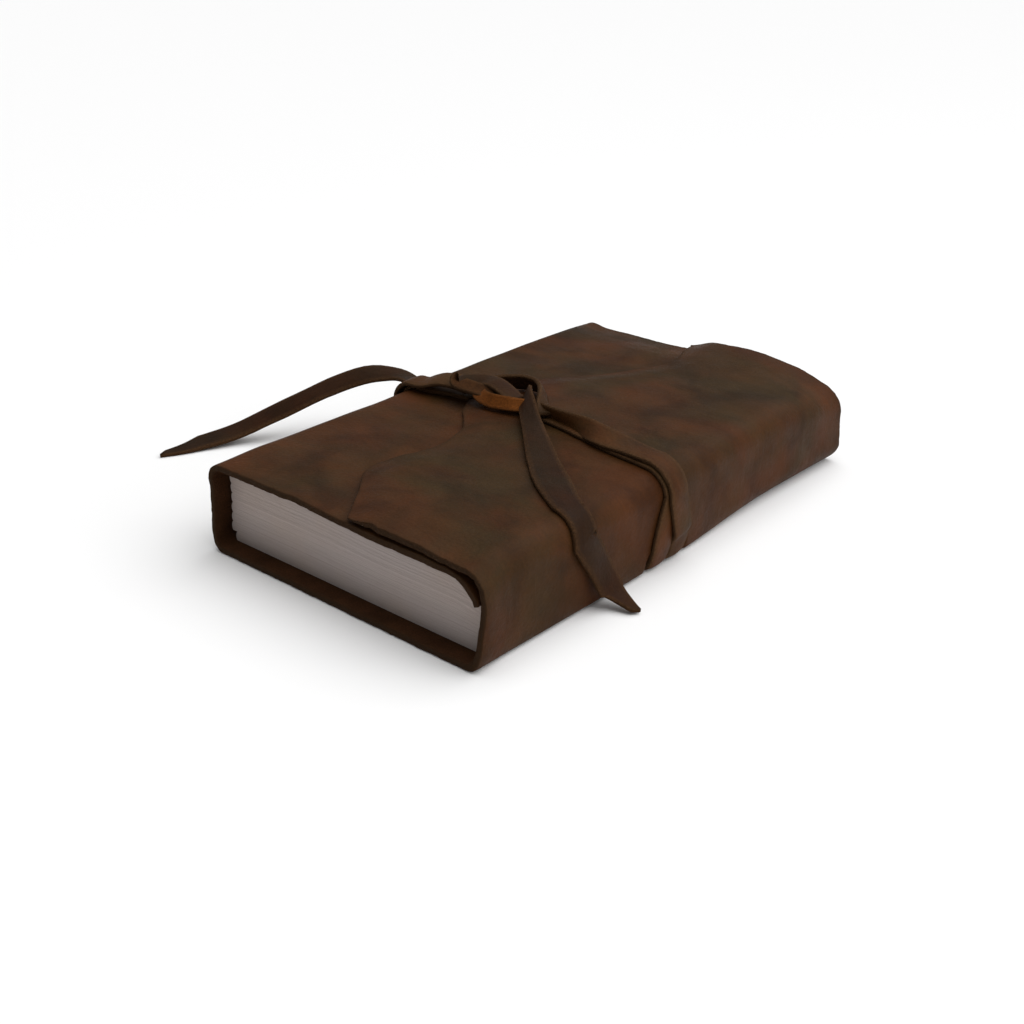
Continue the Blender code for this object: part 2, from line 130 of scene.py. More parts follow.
def settle(place):
    """Where a point of the regular block lies in the soft book."""
    x, y, z = place
    upper, lower = smooth(z, 2, 27), 1 - smooth(z, 1.5, 24)
    near_end, far_end = smooth(y, -84, -108), smooth(y, 84, 108)
    to_spine, to_fore = smooth(x, 25, -38), smooth(x, 12, 58)
    on_book = smooth(x, -78, -63) * (1 - smooth(x, 64, 80))

    # the fore edge stands out, and its lower crease is pressed square but for the far end
    bulge = 2.2 * smooth(y, 60, -40) + 1.7 * smooth(y, -92, -107) - 0.8 * far_end * upper
    square = 4.6 * smooth(y, 66, -5) - 2.0 * smooth(y, -92, -107) + 0.4 * far_end
    square *= max(1 - max(z, 0.0) / FORE_RADIUS, 0.0) ** 2.3
    # the spine's top edge swells outward
    swell = smooth(x, -44, -60) * smooth(z, 12, 29) * smooth(x, -75, -64)
    swell *= 0.9 + 1.4 * smooth(y, -70, 0) + 1.3 * smooth(y, 0, 40) + 2.6 * far_end
    # the back cover reaches further towards the near end than the front does
    reach = -lerp(1.8, 3.0, smooth(x, -60, 60)) * near_end * lower * smooth(x, -70, -56)
    # the covers are crowned along the spine, and sag past the ends of the pages
    crown = to_spine * (1.6 - 0.6 * near_end - 2.9 * smooth(y, 84, 108))
    crown += (1 - to_spine) * 0.6 * (1 - smooth(x, 34, 58))
    crown -= 0.3 * far_end * smooth(x, 30, -5) * (1 - smooth(x, -20, -40))
    crown += smooth(x, -52, -60) * (0.6 * smooth(y, -60, 20) + 1.2 * far_end)
    # near the fore edge the near end sags, and the flap sinks onto the curled front cover
    crown -= near_end * (1.6 * smooth(x, -15, 22) - 1.2 * smooth(x, 40, 56))
    crown -= 1.6 * near_end * smooth(x, 36, 56) * smooth(z, 27, 34)
    pinch = 1.6 * near_end * smooth(x, 50, 60) * smooth(z, 20, 31)
    # the flap's far corner has rolled over
    slump = smooth(y, 56, 112) * (0.8 * smooth(x, 12, 36) + 4.4 * smooth(x, 40, 61))
    # and nothing on it is quite flat
    wavy_top = (0.45 * wander(x, y, 0, 38) + 0.20 * wander(x, y, 0, 14)) * smooth(z, 12, 28)
    wavy_side = 0.5 * wander(0, y, z, 40) * upper
    return Vector((
        x + ((bulge + square) * to_fore + wavy_side) * on_book - swell - pinch,
        y + reach,
        z + (crown - slump + wavy_top) * upper * on_book,
    ))


# ---- shapes and pieces ---------------------------------------------------------------------
class Shape:
    """Points and faces, with what the materials need to know at each point.

    rest is the point's place on the flat hide or strip in millimetres, so that a pattern stays
    with the leather when it bends. edge is 1 on a cut edge, and suede is 1 on the flesh side.
    """

    def __init__(self):
        self.points, self.faces, self.groups = [], [], []
        self.rest, self.edge, self.suede = [], [], []

    def point(self, place, rest, edge=0.0, suede=0.0):
        self.points.append(settle(place) * MM)
        self.rest.append(tuple(rest))
        self.edge.append(edge)
        self.suede.append(suede)
        return len(self.points) - 1

    def face(self, corners, group):
        self.faces.append(tuple(corners))
        self.groups.append(group)

    def strip(self, one, other, group):
        """Quads between two rows of points."""
        for i in range(len(one) - 1):
            self.face((one[i], one[i + 1], other[i + 1], other[i]), group)

    def loops(self, one, other, group):
        """Quads between two closed rings of points."""
        self.strip([*one, one[0]], [*other, other[0]], group)


def turn_outward(mesh):
    work = bmesh.new()
    work.from_mesh(mesh)
    bmesh.ops.recalc_face_normals(work, faces=work.faces)
    work.to_mesh(mesh)
    work.free()


def make_pieces(shape, material):
    """One object for each group of faces. They share the normals of the whole, so no seam shows."""
    whole = bpy.data.meshes.new("whole")
    whole.from_pydata(shape.points, [], shape.faces)
    turn_outward(whole)
    normals = [normal.vector.copy() for normal in whole.vertex_normals]
    faces = [tuple(face.vertices) for face in whole.polygons]
    made = {}
    for group in dict.fromkeys(shape.groups):
        own = [face for face, name in zip(faces, shape.groups) if name == group]
        used = sorted({corner for face in own for corner in face})
        place = {corner: i for i, corner in enumerate(used)}
        mesh = bpy.data.meshes.new(group)
        mesh.from_pydata([shape.points[i] for i in used], [], [[place[i] for i in f] for f in own])
        for name, kind, values in (("rest", "FLOAT_VECTOR", shape.rest),
                                   ("edge", "FLOAT", shape.edge), ("suede", "FLOAT", shape.suede)):
            layer = mesh.attributes.new(name, kind, "POINT")
            for i, corner in enumerate(used):
                if kind == "FLOAT":
                    layer.data[i].value = values[corner]
                else:
                    layer.data[i].vector = values[corner]
        mesh.shade_smooth()
        mesh.normals_split_custom_set_from_vertices([normals[i] for i in used])
        mesh.materials.append(material)
        made[group] = bpy.data.objects.new(group, mesh)
        bpy.context.scene.collection.objects.link(made[group])
    bpy.data.meshes.remove(whole)
    return made


# ---- shader wiring -------------------------------------------------------------------------
class Wires:
    """A short way to make and join shader nodes."""

    def __init__(self, name):
        self.material = bpy.data.materials.new(name)
        self.material.use_nodes = True
        self.tree = self.material.node_tree
        self.shader = self.tree.nodes["Principled BSDF"]

    def add(self, kind, inputs=(), **settings):
        made = self.tree.nodes.new("ShaderNode" + kind)
        for key, value in settings.items():
            setattr(made, key, value)
        for key, value in dict(inputs).items():
            self.feed(made.inputs[key], value)
        return made

    def feed(self, socket, value):
        if isinstance(value, bpy.types.NodeSocket):
            self.tree.links.new(value, socket)
        else:
            socket.default_value = value

    def fact(self, name):
        found = self.add("Attribute", attribute_name=name)
        return found.outputs["Vector" if name == "rest" else "Fac"]

    def stretched(self, scale, turn=0.0):
        """The flat hide's coordinates, turned in their plane and scaled per axis."""
        made = self.add("Mapping", {"Vector": self.fact("rest"), "Scale": scale,
                                    "Rotation": (0, 0, radians(turn))})
        return made.outputs["Vector"]

    def noise(self, vector, scale, detail=3.0, rough=0.55, distort=0.0):
        made = self.add("TexNoise", {"Vector": vector, "Scale": scale, "Detail": detail,
                                     "Roughness": rough, "Distortion": distort})
        return made.outputs["Fac"]

    def ramp(self, share, *stops):
        made = self.add("ValToRGB", {"Fac": share})
        elements = made.color_ramp.elements
        while len(elements) < len(stops):
            elements.new(0.5)
        for element, (position, colour) in zip(elements, stops):
            element.position = position
            element.color = (*colour, 1.0) if isinstance(colour, tuple) else (colour,) * 3 + (1.0,)
        return made.outputs["Color"]

    def mix(self, share, first, second, kind="MIX"):
        """Mixes colours. The node's sockets share names between data types, so they go by number."""
        made = self.add("Mix", data_type="RGBA", blend_type=kind)
        for index, value in ((0, share), (6, first), (7, second)):
            flat = isinstance(value, tuple) and len(value) == 3
            self.feed(made.inputs[index], (*value, 1.0) if flat else value)
        return made.outputs[2]

    def times(self, colour, *others):
        """A colour times greys or other colours."""
        for other in others:
            colour = self.mix(1.0, colour, other, "MULTIPLY")
        return colour

    def maths(self, operation, first, second=0.0):
        made = self.add("Math", operation=operation)
        self.feed(made.inputs[0], first)
        self.feed(made.inputs[1], second)
        return made.outputs[0]

    def finish(self, colour, roughness, height, depth):
        """Joins the shader. depth is the bump's height in millimetres."""
        bump = self.add("Bump", {"Height": height, "Distance": depth * MM, "Strength": 1.0})
        self.feed(self.shader.inputs["Base Color"], colour)
        self.feed(self.shader.inputs["Roughness"], roughness)
        self.feed(self.shader.inputs["Normal"], bump.outputs["Normal"])
        return self.material


# ---- materials -----------------------------------------------------------------------------
OLIVE, BROWN, RUST = (0.035, 0.0185, 0.0058), (0.045, 0.0182, 0.0052), (0.056, 0.0182, 0.0050)
SCRATCH_TONE = (0.090, 0.050, 0.026)
PAGE_TONE = (0.49, 0.420, 0.395)


def leather(name, shade=1.0, edge_tone=(0.046, 0.024, 0.011), suede_tone=(0.050, 0.020, 0.008)):
    """Oiled pull-up leather: clouded browns, faint drag marks and scratches, fibrous cut edges."""
    w = Wires(name)
    rest = w.fact("rest")

    # the grain side: three clouded browns, darker patches, drag marks and a fine mottle
    tones = w.ramp(w.noise(rest, 0.021, 4.0, 0.55, 0.8), (0.36, OLIVE), (0.50, BROWN), (0.64, RUST))
    patches = w.ramp(w.noise(rest, 0.047, 3.0, 0.5, 0.6), (0.34, 0.72), (0.50, 1.0), (0.66, 1.16))
    dragged = w.noise(w.stretched((0.026, 0.085, 0.05), 24), 1.0, 4.0, 0.6)
    drag = w.ramp(dragged, (0.35, 0.88), (0.65, 1.12))
    mottle = w.ramp(w.noise(rest, 0.9, 6.0, 0.7), (0.25, 0.80), (0.75, 1.20))
    grain = w.times(tones, patches, drag, mottle)

    # long thin scratches, in places only
    lines = w.ramp(w.noise(w.stretched((0.05, 1.7, 1.0), -17), 1.0, 2.0, 0.4), (0.71, 0.0), (0.76, 1.0))
    places = w.ramp(w.noise(rest, 0.05, 2.0), (0.52, 0.0), (0.62, 1.0))
    scratch = w.maths("MULTIPLY", lines, places)
    grain = w.mix(w.maths("MULTIPLY", scratch, 0.45), grain, SCRATCH_TONE)
    # shade scales the grain side's colour; the turn and tail copies below use it as a painted highlight
    # and a painted shade
    grain = w.times(grain, (shade,) * 3)

    # the flesh side's nap, and the fibres of a cut edge
    nap = w.noise(rest, 1.6, 7.0, 0.75)
    flesh = w.times(suede_tone, w.ramp(nap, (0.30, 0.55), (0.72, 1.45)),
                    w.ramp(w.noise(rest, 0.09, 3.0), (0.35, 0.75), (0.65, 1.2)))
    fibres = w.noise(w.stretched((1.4, 1.4, 1.4)), 1.0, 6.0, 0.8)
    cut = w.times(edge_tone, w.ramp(fibres, (0.32, 0.35), (0.66, 1.5)))

    on_flesh, on_edge = w.fact("suede"), w.fact("edge")
    worn = w.maths("MULTIPLY", on_edge, w.ramp(fibres, (0.30, 0.35), (0.55, 1.0)))
    colour = w.mix(worn, w.mix(on_flesh, grain, flesh), cut)
    gloss = w.ramp(w.noise(rest, 0.07, 4.0), (0.35, 0.46), (0.65, 0.60))
    roughness = w.mix(worn, w.mix(on_flesh, gloss, (0.92,) * 3), (0.90,) * 3)

    # relief: pores, fine grain, soft creases and the scratches, or the nap and the fibres
    cells = w.add("TexVoronoi", {"Vector": rest, "Scale": 0.85, "Smoothness": 0.6, "Randomness": 1.0},
                  feature="SMOOTH_F1")
    pores = w.maths("MULTIPLY", cells.outputs["Distance"], 0.45)
    fine = w.maths("MULTIPLY", w.noise(rest, 1.9, 5.0, 0.65), 0.8)
    creased = w.noise(w.stretched((0.11, 0.17, 0.15), 35), 1.0, 5.0, 0.55, 0.6)
    skin = w.maths("ADD", w.maths("ADD", pores, fine), w.maths("MULTIPLY", creased, 2.2))
    skin = w.maths("SUBTRACT", skin, w.maths("MULTIPLY", scratch, 0.8))
    rough_side = w.maths("ADD", w.maths("MULTIPLY", nap, 3.0), w.maths("MULTIPLY", fibres, 2.0))
    relief = w.mix(w.maths("MAXIMUM", on_flesh, worn), skin, rough_side)
    w.shader.inputs["Specular IOR Level"].default_value = 0.07
    return w.finish(colour, roughness, relief, 0.16)


def paper():
    """Soft off-white leaves: fine fibres, uneven leaf edges, and painted shade that darkens them low
    down.
    """
    w = Wires("paper")
    rest = w.fact("rest")
    leaves = w.noise(w.stretched((0.02, 0.02, 6.0)), 1.0, 3.0, 0.7)
    fibres = w.noise(rest, 2.4, 5.0, 0.7)
    height = w.maths("DIVIDE", w.add("SeparateXYZ", {"Vector": rest}).outputs["Z"], 30.0)
    warm = w.ramp(w.noise(rest, 0.03, 3.0), (0.40, (1.0, 0.97, 0.93)), (0.62, (1.0, 1.0, 1.0)))
    # painted shade: the leaves get darker towards the bottom of the block, down to 0.55 at its base
    colour = w.times(PAGE_TONE, w.ramp(leaves, (0.30, 0.90), (0.62, 1.03)),
                     w.ramp(height, (0.08, 0.55), (0.50, 1.0)),
                     w.ramp(fibres, (0.3, 0.93), (0.7, 1.04)), warm)
    w.shader.inputs["Specular IOR Level"].default_value = 0.1
    return w.finish(colour, w.ramp(fibres, (0.2, 0.86), (0.8, 0.96)), fibres, 0.04)


def waxed_linen():
    """Waxed sewing thread: two plies with fine fibres along them."""
    w = Wires("waxed_linen")
    fibres = w.noise(w.stretched((1.2, 9.0, 9.0)), 1.0, 4.0, 0.7)
    patches = w.noise(w.fact("rest"), 0.12, 3.0)
    colour = w.times(w.mix(patches, (0.30, 0.22, 0.13), (0.44, 0.35, 0.23)),
                     w.ramp(fibres, (0.3, 0.6), (0.7, 1.2)))
    return w.finish(colour, w.ramp(patches, (0.3, 0.48), (0.7, 0.66)), fibres, 0.08)


HIDE = leather("hide_leather")
THONG_LEATHER = leather("thong_leather", shade=0.78, edge_tone=(0.085, 0.044, 0.020),
                        suede_tone=(0.060, 0.024, 0.008))
# a lighter copy of the thong leather for the turns: the extra brightness is a painted highlight,
# standing in for the sheen on their upper faces
LIT_TURN_LEATHER = leather("lit_turn_leather", shade=1.25, edge_tone=(0.085, 0.044, 0.020),
                       suede_tone=(0.060, 0.024, 0.008))
# a darker copy of the thong leather for the two loose ends: painted shade, standing in for the sides
# that face away from the light
SHADED_TAIL_LEATHER = leather("shaded_tail_leather", shade=0.54, edge_tone=(0.075, 0.036, 0.015),
                       suede_tone=(0.045, 0.018, 0.006))
# a copy of the thong leather for the knot's twisted strand: the flesh side's orange is the leather's
# own, but its flesh side and cut edges are painted brighter than the rest of the thong's, as painted
# light where it faces the lamp
LIT_KNOT_LEATHER = leather("lit_knot_leather", shade=0.78, edge_tone=(0.120, 0.052, 0.018),
                        suede_tone=(0.150, 0.047, 0.009))
PAPER = paper()
LINEN = waxed_linen()


# ---- camera --------------------------------------------------------------------------------
def make_camera():
    """The photograph's viewing angle: 41 degrees round from the near end and 25 above the table."""
    place, target = Vector((0.3152, -0.3857, 0.2281)), Vector((0.01387, -0.03655, 0.0124))
    lens = bpy.data.cameras.new("camera")
    lens.lens, lens.sensor_width = 51.2, 36.0
    camera = bpy.data.objects.new("camera", lens)
    bpy.context.scene.collection.objects.link(camera)
    turn = (target - place).to_track_quat("-Z", "Y").to_matrix().to_4x4()
    camera.matrix_world = Matrix.Translation(place) @ turn @ Matrix.Rotation(radians(0.5), 4, "Z")
    bpy.context.scene.camera = camera


# ---- strips of leather ---------------------------------------------------------------------
# one side of a strip's cross-section: across from -1 to 1, then out from 1 to -1
FACE_ACROSS = (-0.93, -0.62, -0.31, 0.0, 0.31, 0.62, 0.93)


def cross_section():
    """(across, out, edge, suede) round a strip: grain side, cut edge, flesh side, cut edge."""
    top = [(u, 1.0 - 0.10 * u * u, 0.55 if abs(u) > 0.9 else 0.0, 0.0) for u in FACE_ACROSS]
    bottom = [(-u, -1.0, 0.4 if abs(u) > 0.9 else 0.0, 1.0) for u in FACE_ACROSS]
    right = [(1.0, 0.62, 1.0, 0.0), (1.02, 0.0, 1.0, 0.4), (1.0, -0.62, 1.0, 0.8)]
    left = [(-1.0, -0.62, 1.0, 0.8), (-1.02, 0.0, 1.0, 0.4), (-1.0, 0.62, 1.0, 0.0)]
    return top + right + bottom + left


def add_strip(shape, stations, group_at, width=THONG_WIDTH, head=(), taper=(), offset=0.0, lean=0):
    """A hand-cut strip through (centre, outward normal) stations.

    group_at names the piece for the span after a station. head and taper are the shares of the
    width at the first and the last stations, and lean puts the tip on one edge, 1 or -1.
    """
    section = cross_section()
    shares = list(head) + [1.0] * (len(stations) - len(head) - len(taper)) + list(taper)
    tip_start = len(stations) - len(taper)
    travelled, rings = 0.0, []
    for i, (centre, normal) in enumerate(stations):
        before, after = stations[max(i - 1, 0)][0], stations[min(i + 1, len(stations) - 1)][0]
        travelled += (centre - stations[max(i - 1, 0)][0]).length
        along = (after - before).normalized()
        across = along.cross(normal).normalized()
        out = across.cross(along).normalized()
        if out.dot(normal) < 0:
            out = -out
        ring = []
        for u, v, edge, suede in section:
            uneven = 1 + 0.035 * wander(travelled, offset, 5 * (u > 0), 9)
            uneven += 0.02 * wander(travelled, offset, u, 2.2)
            aside = lean * (1 - shares[i]) if i >= tip_start else 0.0
            reach = (u * shares[i] + aside) * width / 2 * uneven
            cup = -0.25 * u * u * shares[i]
            place = centre + across * reach + out * (v * THONG / 2 * (0.86 + 0.14 * shares[i]) + cup)
            rest = (travelled + offset, reach + 3 * offset, 60.0 * suede + v)
            ring.append(shape.point(place, rest, edge, suede))
        rings.append(ring)
    for i, (one, other) in enumerate(zip(rings, rings[1:])):
        shape.loops(one, other, group_at(i))
    for ring, group in ((rings[0], group_at(0)), (rings[-1], group_at(len(rings) - 2))):
        middle = sum((shape.points[i] for i in ring), Vector()) / len(ring)
        hub = shape.point(middle / MM, shape.rest[ring[0]], 1.0, 0.3)
        shape.points[hub] = middle
        for i in range(len(ring)):
            shape.face((ring[i], ring[(i + 1) % len(ring)], hub), group)


def curved(points, normals, steps):
    """Stations on smooth curves through chosen points and normals."""
    places = smooth_curve([Vector(point) for point in points], steps)
    facing = smooth_curve([Vector(normal).normalized() for normal in normals], steps)
    return [(place, normal.normalized()) for place, normal in zip(places, facing)]


def corner(centre, radius, start, end, lifts, across, steps=12, settled=0.5):
    """Stations round one crease; a change of lift is over by the share called settled."""
    found = []
    for i in range(steps + 1):
        share = i / steps
        angle = radians(lerp(start, end, share))
        reach = radius + lerp(lifts[0], lifts[1], min(share / settled, 1) ** 2)
        normal = Vector((cos(angle), 0, sin(angle)))
        place = Vector((centre[0], lerp(across[0], across[1], share), centre[1])) + normal * reach
        found.append((place, normal))
    return found


def straight(start, end, normal, spacing=2.5):
    """Stations strictly between two points."""
    count = max(int((end - start).length / spacing), 2)
    return [(start.lerp(end, i / count), normal) for i in range(1, count)]


# ---- the two loose ends ---------------------------------------------------------------------
def declare_tail(stations, nodes):
    """Every other station, and always the last, makes a point of the cord's path, which nothing uses;
    the tail's CAD solids are hidden.
    """
    chosen = stations[::2] + ([] if len(stations) % 2 else [stations[-1]])
    path = [settle(place) * MM for place, _ in chosen]
    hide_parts(*nodes)


def left_tail():
    """The short end leaves the wrap at the spine, bows outward and lands on the table."""
    points = [(-66.8, -2, 18.6), (-69, 2, 22.8), (-74, 6.8, 25.2), (-83, 9.9, 26.1), (-91.4, 8.8, 26.3),
              (-100.7, 2.8, 25.2), (-110, -7.0, 20.7), (-117.5, -17.4, 15.5), (-126, -28.8, 9.4),
              (-132.7, -40, 4.5), (-137.6, -51.0, 2.4), (-141.5, -60.4, 1.3), (-146, -69.6, 1.1)]
    normals = [(-0.9, 0.1, 0.3), (-0.7, 0.4, 0.6), (-0.3, 0.45, 0.85), (0.1, 0.15, 1), (0.1, -0.15, 1),
               (0, -0.5, 0.8), (-0.2, -0.75, 0.6), (-0.25, -0.8, 0.5), (-0.2, -0.75, 0.55),
               (-0.1, -0.6, 0.75), (0, -0.35, 0.9), (0.05, -0.1, 1), (0.1, 0, 1)]
    stations = curved(points, normals, 4)
    shape = Shape()
    add_strip(shape, stations, lambda i: "left_tail_strap", offset=400, taper=tail_tip(7), lean=-1)
    # the tail's leather is darkened with painted shade
    piece = make_pieces(shape, SHADED_TAIL_LEATHER)["left_tail_strap"]
    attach(piece, "book")
    declare_tail(stations, ["left_tail"])


def tail_tip(count):
    """Shares of the width along a tip that is cut to a long point."""
    return [lerp(1.0, 0.36, (i + 1) / (count - 1)) for i in range(count - 1)] + [0.08]


def right_tail():
    """The long end comes up through the knot, crosses to the fore edge and hangs to the table."""
    rest = HEIGHT + THONG_GAP + THONG / 2
    points = [(-14.5, 5.2, rest + 1.2), (-11.9, 1.8, rest + 3.6), (-8.2, -3.4, rest + 4.4),
              (-4, -8.4, rest + 4.0), (3, -15.2, rest + 3.0), (14.3, -25.2, rest + 1.6),
              (30.6, -40.1, rest + 0.2), (40.6, -48.6, rest), (49.5, -55.6, rest)]
    facing = [(-0.7, -0.5, 0.3), (-0.75, -0.5, 0.35), (-0.65, -0.45, 0.5), (-0.5, -0.35, 0.7),
              (-0.3, -0.25, 0.9), (-0.1, -0.1, 1), (0, 0, 1), (0, 0, 1), (0, 0, 1)]
    lift = THONG_GAP + THONG / 2
    over = curved(points, facing, 5)
    bend = corner(TOP_RIGHT, FORE_RADIUS, 84, 4, (lift, lift), (-58.9, -60.7), 8)
    down = [(63.1, -58.6, 24), (63.1, -54.9, 18.5), (63.6, -51.6, 12.4), (65.4, -49.8, 7.2),
            (68.4, -49.9, 3.6), (76.5, -51.8, 1.2)]
    out = [Vector((1, 0, 0.12)).lerp(Vector((0.45, -0.1, 1)), i / 5) for i in range(6)]
    stations = over + bend + curved(down, out, 5)
    shape = Shape()
    # gathered in the knot, spread where it lies flat, and narrower over the crease
    gathered = [lerp(0.45, 0.7, smooth(i, 3, 19)) + 0.5 * smooth(i, 19, 35) - 0.14 * smooth(i, 36, 42)
                + 0.1 * smooth(i, 46, 54) for i in range(len(stations) - 9)]
    add_strip(shape, stations, lambda i: "right_tail_strap", offset=700, head=gathered,
              taper=tail_tip(9), lean=-1)
    # the tail's leather is darkened with painted shade
    piece = make_pieces(shape, SHADED_TAIL_LEATHER)["right_tail_strap"]
    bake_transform(piece)
    declare_tail(stations, ["right_tail_flap", "right_tail_bend", "right_tail_end"])


# ---- the hide ------------------------------------------------------------------------------
def flap_edge_x(y):
    """X of the flap's free edge at a distance along the book."""
    y = min(max(y, NEAR), FAR - 1e-6)
    i = max(k for k in range(len(FLAP_EDGE) - 1) if FLAP_EDGE[k][1] <= y)
    (x0, y0), (x1, y1) = FLAP_EDGE[i], FLAP_EDGE[i + 1]
    before, after = FLAP_EDGE[max(i - 1, 0)], FLAP_EDGE[min(i + 2, len(FLAP_EDGE) - 1)]
    slope0 = (x1 - before[0]) / (y1 - before[1])
    slope1 = (after[0] - x0) / (after[1] - y0)
    t, span = (y - y0) / (y1 - y0), y1 - y0
    return ((2 * t ** 3 - 3 * t * t + 1) * x0 + (t ** 3 - 2 * t * t + t) * span * slope0
            + (3 * t * t - 2 * t ** 3) * x1 + (t ** 3 - t * t) * span * slope1)


def spread(start, end, spacing):
    """Values from start up to, but without, end."""
    count = max(round(abs(end - start) / spacing), 1)
    return [lerp(start, end, i / count) for i in range(count)]


def fading_dent(share):
    """How far the thong presses in where its dent fades out round a crease."""
    return max(0.0, THONG_DENT - 2.0 * share ** 2)


def hide_columns():
    """Lines along the hide, round the book from the front cover's free edge to the flap's.

    Each is (x, z, normal, group, dent, flap share). dent is how far the thong presses in.
    """
    columns = []

    def bend(centre, radius, start, end, group, dents=None):
        for angle in spread(start, end, 7.5):
            share = (angle - start) / (end - start)
            normal = Vector((cos(radians(angle)), 0, sin(radians(angle))))
            x, z = centre[0] + normal.x * radius, centre[1] + normal.z * radius
            columns.append((x, z, normal, group, dents(share) if dents else 0.0, None))

    def flat(start, end, normal, group, dent=0.0):
        length = max(abs(end[0] - start[0]), abs(end[1] - start[1]))
        for share in spread(0.0, 1.0, 1.25 / length):
            x, z = lerp(start[0], end[0], share), lerp(start[1], end[1], share)
            columns.append((x, z, normal, group, dent, None))

    bend((CURL_X, FRONT_TOP - CURL_RADIUS), CURL_RADIUS, CURL_START, 90, "hide_front")
    flat((CURL_X, FRONT_TOP), (TOP_LEFT[0], FRONT_TOP), UP, "hide_front")
    bend(TOP_LEFT, SPINE_RADIUS, 90, 180, "hide_front")
    flat((LEFT, TOP_LEFT[1]), (LEFT, SPINE_SEAM_Z), Vector((-1, 0, 0)), "hide_front")
    flat((LEFT, SPINE_SEAM_Z), (LEFT, BOTTOM_LEFT[1]), Vector((-1, 0, 0)), "hide_back")
    bend(BOTTOM_LEFT, SPINE_RADIUS, 180, 270, "hide_back",
         lambda share: fading_dent(min(2 * (1 - share), 1)))
    flat((BOTTOM_LEFT[0], 0), (BOTTOM_RIGHT[0], 0), -UP, "hide_back", THONG_DENT)
    bend(BOTTOM_RIGHT, FORE_RADIUS, -90, 0, "hide_back", fading_dent)
    flat((RIGHT, BOTTOM_RIGHT[1]), (RIGHT, FORE_SEAM_Z), Vector((1, 0, 0)), "hide_back")
    flat((RIGHT, FORE_SEAM_Z), (RIGHT, TOP_RIGHT[1]), Vector((1, 0, 0)), "hide_flap")
    bend(TOP_RIGHT, FORE_RADIUS, 0, 90, "hide_flap")
    for share in spread(0.0, 1.0, 1 / 56):
        columns.append((TOP_RIGHT[0], HEIGHT, UP, "hide_flap", 0.0, share))
    columns.append((TOP_RIGHT[0], HEIGHT, UP, "hide_flap", 0.0, 1.0))
    return columns


def hide_rows():
    """Distances along the book: close together at the cut ends and where the thong presses in."""
    edge, inset = [0.0, 0.3, 0.8, 1.7, 3.0], 4.6
    press_start, press_end = -28, 4
    coarse, fine = 1.9, 1.0
    rows = [NEAR + step for step in edge] + spread(NEAR + inset, press_start, coarse)
    rows += spread(press_start, press_end, fine)
    rows += spread(press_end, FAR - inset, coarse) + [FAR - inset]
    return rows + [FAR - step for step in edge[::-1]]


def cut_line(travelled, y, side, rough_share):
    """The ragged line of a cut end, as a shift outward in millimetres; the covers are notched most."""
    ragged = 0.26 * wander(travelled, y, side, 3.1) + 0.22 * wander(travelled, y, side, 1.1)
    notch = max(0.0, wander(travelled, y, side, 5.3) - 0.28) * 1.5
    return ragged - notch * rough_share


def flap_lift(x, y):
    """The flap stands off the front cover a little at its near corner and more at its far end."""
    far = 1.8 * smooth(y, 62, 108) * smooth(x, -17, 3) * (1 - smooth(x, 22, 46))
    near = 0.7 * smooth(y, -84, -107) * smooth(x, 50, 22)
    return far + near


def thong_press(y):
    """1 where the two turns run under the book, and 0 beside them."""
    return smooth(y, -25.7, -23.4) * (1 - smooth(y, -2.0, 0.3))


def edge_point(shape, outer, inner, share, outward, where):
    """A point on the fibrous cut face between the two sides of the hide; already settled."""
    fluff = 0.16 + 0.22 * wander(where[0], where[1], 7 * share, 0.9)
    index = shape.point((0, 0, 0), (where[0], where[1], 30 * share), 1.0, share)
    shape.points[index] = outer.lerp(inner, share) + outward * fluff * MM
    return index


def hide_points(shape, columns, rows):
    """Adds the points of both sides and both free edges, and returns their numbers row by row."""
    outer, inner, front_side, flap_side = [], [], [], []
    for y in rows:
        end = -1 if y < 0 else 1
        from_end = min(y - NEAR, FAR - y)
        edge_x = flap_edge_x(y) + 0.5 * wander(y, 3, 0, 4.0) + 0.25 * wander(y, 9, 0, 1.3)
        out_row, in_row, travelled, last = [], [], 0.0, None
        for c, (x, z, normal, _, dent, share) in enumerate(columns):
            spot = Vector((x, 0, z))
            if share is not None:
                spot.x = lerp(TOP_RIGHT[0], edge_x, share ** 0.92 if share < 1 else 1.0)
            travelled += (spot - last).length if last else 0.0
            last = spot.copy()
            pressed = dent * thong_press(y)
            lift = flap_lift(spot.x, y) if share is not None else 0.0
            skived = 0.0 if share is None else SKIVE * smooth(spot.x, edge_x + SKIVE_WIDTH, edge_x)
            # 1 on a cut end or a free edge, and 0 from a little way in
            wear = max(1 - from_end / 1.2, 1 - min(c, len(columns) - 1 - c) / 1.5, 0.0)
            for side, row in ((0.0, out_row), (1.0, in_row)):  # grain side, flesh side
                ragged = cut_line(travelled, end, side, smooth(z, 16, 28))
                ragged *= 1 - min(from_end / 2.5, 1.0)
                slim = 0.12 * wear * (1 - 2 * side)
                depth = LEATHER + slim if side else pressed + slim + skived
                place = Vector((spot.x, y + end * ragged, spot.z)) - normal * depth
                place.z += lift
                rest = (travelled, y, 90.0 * side)
                row.append(shape.point(place, rest, 0.55 * wear, side))
        outer.append(out_row)
        inner.append(in_row)
        for store, column, outward in ((front_side, 0, 1), (flap_side, -1, -1)):
            a, b = shape.points[out_row[column]], shape.points[in_row[column]]
            where = (travelled * (column < 0), y)
            store.append([edge_point(shape, a, b, share, Vector((outward, 0, 0)), where)
                          for share in EDGE_SHARES])
    return outer, inner, front_side, flap_side


